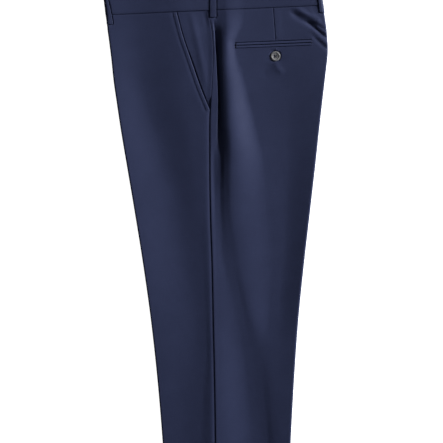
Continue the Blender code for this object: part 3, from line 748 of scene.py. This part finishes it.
def waistband():
    """The waistband as one ring with rounded edges, its front tucked in between the legs."""
    half, end = BAND_THICK / 2, BAND_HEIGHT - SEAM_GAP / 2
    turn = np.radians(np.linspace(0, 180, 7))
    over = [(half * (1 - math.sin(a)), half * (1 + math.cos(a))) for a in turn]
    under = [(end - half * (1 - math.sin(a)), half * (1 - math.cos(a))) for a in turn]
    outer = [(d, 0.0) for d in np.linspace(half, end - half, 9)[1:-1]]
    inner = [(d, BAND_THICK) for d in np.linspace(end - half, half, 5)[1:-1]]
    rows = over + outer + under + inner
    rows.append(rows[0])
    paths = [band_ring(down, inset) for down, inset in rows]
    return woven_piece("waistband_cloth", "waistband", paths, rows, joined=True)


def loop_ring(share):
    """A belt loop's closed section: a flat strap with crisp, stitched-down edges."""
    half = LOOP_WIDTH / 2
    right = np.array([1, LOOP_STITCH - 0.4, LOOP_STITCH, LOOP_STITCH + 0.4, half - 0.3,
                      half - 0.08, half])
    rise = LOOP_THICK * np.array([1.0, 1.04, 0.92, 1.04, 1.0, 0.85, 0.5])
    across, raised = np.concatenate([-right[::-1], right]), np.concatenate([rise[::-1], rise])
    below = np.array([half - 0.08, half - 0.3, 0, -half + 0.3, -half + 0.08])
    under = LOOP_THICK * np.array([0.15, 0.0, 0.0, 0.0, 0.15])
    narrow = 1 - 0.06 * (1 - math.sin(math.pi * min(share * 12, 0.5)))
    narrow *= 1 - 0.16 * ease(0.965, 1.0, share) ** 2
    sides = np.concatenate([across, below, across[:1]]) * narrow
    lifts = np.concatenate([raised, under, raised[:1]])
    return sides, lifts


def flat_loop_point(side, down, lift):
    """A point of the side loop, which lies on the flat of the band."""
    near = LOOP_SIDE_X + np.array([-LOOP_WIDTH / 2, 0, LOOP_WIDTH / 2])
    return LOOP_SIDE_X + side, height(near, down).max() + lift


def loop_along(fold, down):
    """How far along the fold's section a slanted belt loop's middle lies."""
    return LOOP_ON_FOLD + LOOP_SLANT[fold] * max(0.0, 1 - down / 48)


def fold_middle(fold, down):
    """Which step of a fold's section is its outermost: the end where both layers share it."""
    return FOLD_STEPS if parting(fold, down) < 0.5 else FOLD_STEPS // 2


def fold_loop_edge(fold, down):
    """Where a fold's belt loop has its inner edge."""
    upper = upper_fold(fold, down, FOLD_STEPS)
    way = way_along(upper)[fold_middle(fold, down)]
    return upper[0, 0] + inwards(fold) * (LOOP_WIDTH / 2 - loop_along(fold, down) - way)


def beside_loop(fold, down):
    """Where the cloth is pressed down beside a fold's belt loop."""
    return fold_loop_edge(fold, down) + inwards(fold) * BESIDE_LOOP


def fold_loop_point(fold, side, down, lift):
    """A point of a loop bent round a fold, placed by its way along the fold's section."""
    towards = inwards(fold)
    upper = upper_fold(fold, down, FOLD_STEPS)
    flat_x = upper[0, 0] + towards * np.array([12, 9, 6, 3])
    flat = pairs(flat_x, height(flat_x, down))
    middle = fold_middle(fold, down)
    path = np.concatenate([flat, upper])
    if middle == FOLD_STEPS:
        path = np.concatenate([path, lower_fold(fold, down, FOLD_STEPS)[::-1]])
    way = way_along(path)
    at = way[len(flat) + middle] + loop_along(fold, down) - side
    ways = (at, at - 0.35, at + 0.35)
    x, before, after = np.interp(ways, way, path[:, 0])
    z, low, high = np.interp(ways, way, path[:, 1])
    out = towards * lift / math.hypot(after - before, high - low)
    return x + (high - low) * out, z - (after - before) * out


def loop_lift(down, below_seam):
    """How high a belt loop's underside lies: arched over the band, then closer to the leg."""
    arch = LOOP_ARCH * math.sin(math.pi * (down - LOOP_TOP) / (BAND_HEIGHT + below_seam)) ** 2
    on_leg = ease(BAND_HEIGHT - 1, BAND_HEIGHT + 6, down)
    return LOOP_LIFT + BAND_RAISE * (1 - 0.9 * on_leg) + arch


def belt_loop(where, point_at, below_seam):
    """A belt loop with both ends turned under."""
    rows, uvs = [], []
    shares = np.concatenate([[0, 0.006, 0.02], np.linspace(0.05, 0.95, 15), [0.97, 0.985, 0.995, 1]])
    for share in shares:
        down = LOOP_TOP + share * (BAND_HEIGHT + below_seam)
        arch = loop_lift(down, below_seam)
        sides, lifts = loop_ring(share)
        closing = min(share, 1 - share) / 0.02
        squeeze = math.sqrt(max(0.0, 1 - (1 - min(closing, 1)) ** 2))
        lifts = LOOP_THICK / 2 + (lifts - LOOP_THICK / 2) * squeeze
        path = np.array([point_at(s, down, arch + lift) for s, lift in zip(sides, lifts)])
        rows.append(place(path, down))
        uvs.append(pairs(np.linspace(0, 0.024, len(path)), np.full(len(path), down * MM)))
    return cloth_piece(where + "_loop_cloth", "belt_loop_" + where, rows, uvs, True)


def pocket_lip(where, top):
    """A pocket lip: a strip folded at the slit and turned under at its other edge."""
    r = LIP_ROUND
    turn = np.radians(np.linspace(90, -90, 9))
    upper, lower = top + 0.12, top + WELT_LIP - 0.12
    face = [(d, 0.0) for d in np.linspace(upper + r, lower - r, 6)[:-1]]
    rounded = [(lower - r + r * math.cos(a), r * (1 - math.sin(a))) for a in turn]
    back = [(d, 2 * r) for d in np.linspace(lower - r, upper + r, 4)[1:-1]]
    other = [(upper + r - r * math.cos(a), r * (1 - math.sin(a))) for a in turn[::-1]]
    profile = face + rounded + back + other
    if top > WELT_TOP:
        profile = [(upper + lower - d, drop) for d, drop in profile]
    profile.append(profile[0])
    xs = np.linspace(WELT_LEFT_X + 0.2, WELT_RIGHT_X - 0.2, 66)
    rows = []
    for d, drop in profile:
        z = height(xs, d) + 0.22 + LIP_TILT * (d - (upper + lower) / 2) - drop
        rows.append(place(pairs(xs, z), d))
    uvs = [pairs(xs, np.full(len(xs), way)) * MM for way in way_along(profile)]
    return cloth_piece(where + "_lip_cloth", "welt_" + where, rows, uvs, True)


class Value:
    """A shader socket whose sums and products add Math nodes."""

    def __init__(self, tree, socket):
        self.tree, self.socket = tree, socket

    def math(self, operation, *others):
        node = self.tree.nodes.new("ShaderNodeMath")
        node.operation = operation
        for slot, value in zip(node.inputs, (self, *others)):
            if isinstance(value, Value):
                self.tree.links.new(value.socket, slot)
            else:
                slot.default_value = value
        return Value(self.tree, node.outputs[0])

    def __add__(self, other):
        return self.math("ADD", other)

    def __sub__(self, other):
        return self.math("SUBTRACT", other)

    def __mul__(self, other):
        return self.math("MULTIPLY", other)

    def __rsub__(self, other):
        return (self * -1) + other

    __radd__ = __add__
    __rmul__ = __mul__


class Finish:
    """A material being made: its node tree and its Principled shader."""

    def __init__(self, name, **constants):
        self.material = bpy.data.materials.new(name)
        self.material.use_nodes = True
        self.tree = self.material.node_tree
        self.shader = self.tree.nodes["Principled BSDF"]
        for socket, value in constants.items():
            self.shader.inputs[socket.replace("_", " ")].default_value = value

    def node(self, kind, settings=(), out=0, **inputs):
        """A node of a kind, with its settings first and then its sockets' values or links."""
        node = self.tree.nodes.new("ShaderNode" + kind)
        for name, value in dict(settings).items():
            setattr(node, name, value)
        for name, value in inputs.items():
            numbered = name[0] == "i" and name[1:].isdigit()
            slot = node.inputs[int(name[1:]) if numbered else name.replace("_", " ")]
            if isinstance(value, Value):
                self.tree.links.new(value.socket, slot)
            else:
                slot.default_value = value
        return Value(self.tree, node.outputs[out])

    def mix(self, share, one, other):
        """Colours mixed by a share."""
        return self.node("Mix", {"data_type": "RGBA"}, out=2, i0=share, i6=one, i7=other)

    def feed(self, socket, value):
        """Links a value to the shader."""
        self.tree.links.new(value.socket, self.shader.inputs[socket])


def cloth_finish(name, deep, bright):
    """Fine plain-woven cloth with faintly uneven threads and a soft sheen."""
    made = Finish(name, Sheen_Weight=0.06, Sheen_Roughness=0.45, Sheen_Tint=(0.62, 0.70, 1.0, 1.0),
                  IOR=1.45, Specular_IOR_Level=0.08)
    uv = made.node("UVMap", {"uv_map": "cloth"})
    across = made.node("SeparateXYZ", Vector=uv)
    down = made.node("SeparateXYZ", out=1, Vector=uv)
    warp = (across * (math.pi / (THREAD_PITCH * MM))).math("SINE")
    weft = (down * (math.pi / (THREAD_PITCH * MM))).math("SINE")
    over = (weft * warp).math("GREATER_THAN", 0.0)
    threads = over * warp.math("ABSOLUTE") + (1 - over) * weft.math("ABSOLUTE")
    flat = {"noise_dimensions": "2D"}
    weft_slub, warp_slub = [
        made.node("TexNoise", flat, Vector=made.node("Mapping", Vector=uv, Scale=scale), Scale=1.0,
                  Detail=2.0) for scale in ((55, 1500, 1), (1500, 45, 1))]
    cloud = made.node("TexNoise", flat, Vector=uv, Scale=22.0, Detail=3.0)
    slub = (weft_slub + warp_slub) * 0.5
    tone = slub * 0.55 + threads * 0.3 + cloud * 0.3 - 0.1
    made.feed("Base Color", made.mix(tone, deep, bright))
    made.feed("Roughness", 0.66 - slub * 0.12)
    bump = made.node("Bump", Strength=0.35, Distance=0.00009, Height=threads + slub * 1.2)
    made.feed("Normal", bump)
    return made.material


def thread_finish(name, colour, roughness):
    """Twisted sewing thread with slight clouds in its colour."""
    made = Finish(name, Sheen_Weight=0.05, Sheen_Roughness=0.4, Specular_IOR_Level=0.15)
    where = made.node("TexCoord", out=3)
    cloud = made.node("TexNoise", Vector=where, Scale=900.0, Detail=3.0)
    place_x = made.node("SeparateXYZ", Vector=where)
    place_y = made.node("SeparateXYZ", out=1, Vector=where)
    twist = ((place_x + place_y) * (2 * math.pi / (THREAD_TWIST * MM))).math("SINE") * 0.5 + 0.5
    light = tuple(min(1, c * 2.2) for c in colour[:3]) + (1.0,)
    made.feed("Base Color", made.mix(cloud * 0.7 + twist * 0.3, colour, light))
    made.feed("Roughness", cloud * 0.1 + roughness)
    made.feed("Normal", made.node("Bump", Strength=0.4, Distance=0.00006, Height=twist))
    return made.material


def resin_finish():
    """Marbled grey resin."""
    made = Finish("marbled_resin", Coat_Weight=0.25, Coat_Roughness=0.2)
    where = made.node("TexCoord", out=3)
    warp = made.node("TexNoise", Vector=where, Scale=260.0, Detail=2.0)
    marble = made.node("TexNoise", Vector=where, Scale=520.0, Detail=4.0, Distortion=1.6)
    tone = (marble * 1.6 + warp * 0.8 - 0.75).math("MAXIMUM", 0.0).math("MINIMUM", 1.0)
    made.feed("Base Color", made.mix(tone, (0.03, 0.031, 0.037, 1), (0.24, 0.24, 0.25, 1)))
    made.feed("Roughness", marble * 0.15 + 0.28)
    return made.material


def button_blank():
    """A button turned on the lathe: a rim round a sunk middle."""
    profile = columns(
        "radius height",
        (0.0, 0.66), (0.5, 0.68), (0.62, 0.76), (0.70, 0.95), (0.80, 1.0), (0.90, 0.95),
        (0.98, 0.78), (1.0, 0.60), (0.98, 0.36), (0.86, 0.10), (0.6, 0.0), (0.0, 0.0),
    )
    bm = bmesh.new()
    verts = [bm.verts.new((r * BUTTON_RADIUS * MM, 0, h * BUTTON_THICK * MM))
             for r, h in zip(*profile.values())]
    edges = [bm.edges.new(pair) for pair in zip(verts, verts[1:])]
    bmesh.ops.spin(bm, geom=verts + edges, cent=(0, 0, 0), axis=(0, 0, 1), steps=48,
                   angle=2 * math.pi, use_merge=True)
    bmesh.ops.remove_doubles(bm, verts=bm.verts, dist=0.01 * MM)
    bmesh.ops.recalc_face_normals(bm, faces=bm.faces)
    return new_object("back_button", bm)


def drill_holes(blank):
    """Drills the four holes through a button blank."""
    bm = bmesh.new()
    for k in range(4):
        angle = math.pi / 4 + k * math.pi / 2
        out = HOLE_OUT * MM
        where = Matrix.Translation((out * math.cos(angle), out * math.sin(angle), 1.5 * MM))
        bmesh.ops.create_cone(bm, cap_ends=True, segments=20, radius1=HOLE_RADIUS * MM,
                              radius2=HOLE_RADIUS * MM, depth=9 * MM, matrix=where)
    drill = new_object("drill", bm)
    holes = blank.modifiers.new("holes", "BOOLEAN")
    holes.object = drill
    holes.operation = "DIFFERENCE"
    holes.solver = "EXACT"
    bpy.context.view_layer.update()
    drilled = blank.evaluated_get(bpy.context.evaluated_depsgraph_get())
    mesh = bpy.data.meshes.new_from_object(drilled)
    blank.modifiers.clear()
    blank.data = mesh
    bpy.data.objects.remove(drill)


def button():
    """The four-hole button, leaning with the cloth, and the matrix that seats it there."""
    body = button_blank()
    drill_holes(body)
    sides = np.linspace(-BUTTON_RADIUS, BUTTON_RADIUS, 5)
    under = back_surface(BUTTON_X + sides, BUTTON_DOWN)
    slope = (under[-1] - under[0]) / (sides[-1] - sides[0])
    rest = float(max(under - slope * sides)) + BUTTON_SHANK
    centre = place([(BUTTON_X, rest)], BUTTON_DOWN)[0]
    seat = Matrix.Translation(centre) @ Matrix.Rotation(-math.atan(slope), 4, "Y")
    body.data.transform(seat)
    body.data.shade_smooth()
    body.data.set_sharp_from_angle(angle=math.radians(38))
    return body, seat


def front_point(aside, down, lift=0.1):
    """A point on the left front, a little in from its edge."""
    edge, pocket = front_edge(down)
    z = height(edge - aside, down) - front_sink(aside, pocket) + lift
    return place([(edge - aside, z)], down)[0]


def front_place(x, down):
    """A point on the left front at a place across."""
    return front_point(front_edge(down)[0] - x, down, 0.16)


def back_point(x, down):
    """A point on the left back."""
    return place([(x, back_surface(np.array([x]), down)[0] + 0.1)], down)[0]


def lip_point(x, down):
    """A point on top of the pocket lips."""
    top = WELT_TOP if down < WELT_LOWER - WELT_SLIT / 2 else WELT_LOWER
    lift = 0.3 + LIP_TILT * (down - top - WELT_LIP / 2)
    return place([(x, height(x, down) + lift)], down)[0]


def stitched(name, ends, wide, thick, up=(0, 0, 1)):
    """Stitches as small beads of thread between pairs of points."""
    bm = bmesh.new()
    for start, end in ends:
        start, end = Vector(start), Vector(end)
        along = (end - start).normalized()
        side = Vector(up).cross(along).normalized()
        turned = Matrix((side * wide * MM, along.cross(side) * thick * MM, end - start)).transposed()
        matrix = Matrix.Translation((start + end) / 2) @ turned.to_4x4()
        bmesh.ops.create_uvsphere(bm, u_segments=8, v_segments=6, radius=0.5, matrix=matrix)
    bmesh.ops.recalc_face_normals(bm, faces=bm.faces)
    made = new_object(name, bm)
    made.data.shade_smooth()
    return finish_piece(made, thread, "cloth")


def bar_tack(point, first, last, wide, pitch=0.33):
    """The pairs of points of a bar tack: threads side by side between two places."""
    first = np.array(first)
    run = math.dist(first, last)
    along = (last - first) / run
    aside = np.array([-along[1], along[0]]) * wide / 2
    middles = [first + along * pitch * k for k in range(int(run / pitch) + 1)]
    return [(point(*(middle - aside)), point(*(middle + aside))) for middle in middles]


def pocket_edge_stitches():
    """The picked stitches along the slanted pocket opening, and the bar tacks at its ends."""
    picks = [(front_point(STITCH_IN, d - 0.55), front_point(STITCH_IN, d + 0.55))
             for d in np.arange(44, 203, 3.4)]
    for down in (44.5, 205.0):
        edge = front_edge(down)[0]
        picks += bar_tack(front_place, (edge - STITCH_IN, down), (edge - 1.2, down), 1.3)
    stitched("pocket_edge_stitches", picks, 0.42, 0.3)


def loop_edge_stitches():
    """The two rows of stitches down each belt loop."""
    ends = []
    for _, point_at, below_seam in BELT_LOOPS:

        def on_loop(side, down):
            """A point on top of the belt loop."""
            lift = loop_lift(down, below_seam) + LOOP_THICK - 0.05
            return place([point_at(side, down, lift)], down)[0]

        last = LOOP_TOP + BAND_HEIGHT + below_seam
        for side in (-LOOP_STITCH, LOOP_STITCH):
            ends += [(on_loop(side, d - 0.7), on_loop(side, d + 0.7))
                     for d in np.arange(3, last - 2, 2.4)]
    stitched("loop_edge_stitches", ends, 0.36, 0.24)


def pocket_end_tacks():
    """The bar tacks across both ends of the pocket lips."""
    tacks = []
    for x in (WELT_LEFT_X + 0.9, WELT_RIGHT_X - 0.9):
        tacks += bar_tack(lip_point, (x, WELT_TOP + 0.5), (x, WELT_END - 0.5), 1.2)
    stitched("pocket_end_tacks", tacks, 0.36, 0.26)


def buttonhole_stitches():
    """The two overcast sides of the buttonhole, and the bar at its upper end."""
    first, last = BUTTON_DOWN - 11.6, BUTTON_DOWN + 1.6
    ends = []
    for x in (BUTTON_X - 0.9, BUTTON_X + 0.9):
        ends += bar_tack(back_point, (x, first), (x, last), 1.5, 0.36)
    bar = (BUTTON_X - 1.6, first - 0.5), (BUTTON_X + 1.6, first - 0.5)
    stitched("buttonhole_stitches", ends + bar_tack(back_point, *bar, 1.2, 0.36), 0.4, 0.3)


def button_thread(seat):
    """The thread that crosses the button from hole to hole and runs down through the holes."""
    ends = []
    out = HOLE_OUT * math.sqrt(0.5)
    top = 0.66 * BUTTON_THICK + 0.12
    for a, b in (((-out, -out), (out, out)), ((-out, out), (out, -out))):
        for beside in (-0.35, 0.35):
            pair = [Vector((u + beside * math.copysign(1, v), v, top)) for u, v in (a, b)]
            ends.append(pair)
            ends += [(Vector((u, v, -0.7)), Vector((u, v, top))) for u, v in (a, b)]
    seated = [[seat @ (corner * MM) for corner in pair] for pair in ends]
    stitched("button_thread", seated, 0.75, 0.6, (0.3, 0.9, 0.1))


def hem_pricks():
    """The pricks of the hem's blind stitches on the upper leg."""
    down = LENGTH - HEM_TURNED + 2.0
    front, seam, back = outline(down)
    ends = []
    for x in np.arange(front + 8, back - 8, 9.0):
        if abs(x - seam) > 3:
            level = height(x, down) + 0.03
            ends.append([place([(x + way, level)], down)[0] for way in (-0.35, 0.35)])
    stitched("hem_pricks", ends, 0.3, 0.16)


cloth = cloth_finish("navy_cloth", (0.0135, 0.0175, 0.043, 1), (0.027, 0.034, 0.078, 1))
thread = thread_finish("navy_thread", (0.009, 0.0115, 0.030, 1), 0.62)

front_rows = all_rows(extra=FRONT_LOOP_ROWS)
left_front = panel("left_front_cloth", "left_front", front_path, front_rows, -1)
back_rows = all_rows(extra=np.concatenate([LOOP_END_ROWS, WELT_ROWS, BUTTON_ROWS]))
left_back = panel("left_back_cloth", "left_back", back_path, back_rows, 1)
facing_rows = waist_rows() + [(d, 0.0) for d in np.arange(FIELD_START, FACING_END, 3.0)]
pocket_side = panel("pocket_side_cloth", "pocket_facing", facing_path, facing_rows, -1, 6, 0)
band = waistband()
right_rows = all_rows(fine=9.0, coarse=12.0)
front_below, back_below = partial(right_path, "front"), partial(right_path, "back")
right_front = panel("right_front_cloth", "under_layers", front_below, right_rows, 1, 8)
right_back = panel("right_back_cloth", "under_layers", back_below, right_rows, -1, 8)

BELT_LOOPS = (
    ("front", partial(fold_loop_point, "front"), FRONT_LOOP_BELOW_SEAM),
    ("side", flat_loop_point, LOOP_BELOW_SEAM),
    ("back", partial(fold_loop_point, "back"), LOOP_BELOW_SEAM),
)
for where, point_at, below_seam in BELT_LOOPS:
    loop = belt_loop(where, point_at, below_seam)
for where, top in (("upper", WELT_TOP), ("lower", WELT_LOWER)):
    lip = pocket_lip(where, top)

back_button, button_seat = button()
finish_piece(back_button, resin_finish(), "button", "pocket_button")

pocket_edge_stitches()
loop_edge_stitches()
pocket_end_tacks()
buttonhole_stitches()
button_thread(button_seat)
hem_pricks()


# Each light's name, azimuth and elevation in degrees, distance, width and power.
LIGHTS = (("key", 24, 14.5, 7.0, 2.1, 1545.0), ("fill", 200, 55, 3.0, 2.4, 2.5))
AIM = Vector((0.011, 0.145, 0.0))
VIEW_MIDDLE = Vector((0.0113, 0.1445, 0.012))
VIEW_WIDTH = 0.7531

# The floor is a square of this half width, a little below the cloth that rests on it.
FLOOR_REACH = 12.0
FLOOR_DROP = 0.2


def studio():
    """A pale floor, soft light from above the seat's side, and a camera looking straight down."""
    bm = bmesh.new()
    bmesh.ops.create_grid(bm, x_segments=1, y_segments=1, size=FLOOR_REACH,
                          matrix=Matrix.Translation((0, 0, -FLOOR_DROP * MM)))
    floor = new_object("floor", bm)
    paper = Finish("pale_floor", Base_Color=(0.86, 0.86, 0.86, 1), Roughness=0.9,
                   Specular_IOR_Level=0.1, Emission_Color=(1, 1, 1, 1), Emission_Strength=1.0)
    floor.data.materials.append(paper.material)
    floor.visible_diffuse = False
    floor.visible_glossy = False

    world = bpy.data.worlds.new("studio")
    bpy.context.scene.world = world
    world.use_nodes = True
    background = world.node_tree.nodes["Background"]
    background.inputs["Color"].default_value = (0.95, 0.97, 1.0, 1)
    background.inputs["Strength"].default_value = 0.12

    for name, azimuth, elevation, distance, size, power in LIGHTS:
        data = bpy.data.lights.new(name, "AREA")
        data.shape = "DISK"
        data.size = size
        data.energy = power
        lamp = add_object(name, data)
        a, e = math.radians(azimuth), math.radians(elevation)
        away = Vector((math.cos(a) * math.cos(e), math.sin(a) * math.cos(e), math.sin(e)))
        lamp.location = AIM + away * distance
        lamp.rotation_euler = (-away).to_track_quat("-Z", "Y").to_euler()

    bpy.context.scene.view_settings.view_transform = "Standard"
    data = bpy.data.cameras.new("camera")
    data.lens = 100.0
    data.sensor_width = 36.0
    camera = add_object("camera", data)
    camera.location = VIEW_MIDDLE + Vector((0, 0, VIEW_WIDTH * data.lens / data.sensor_width))
    bpy.context.scene.camera = camera


studio()
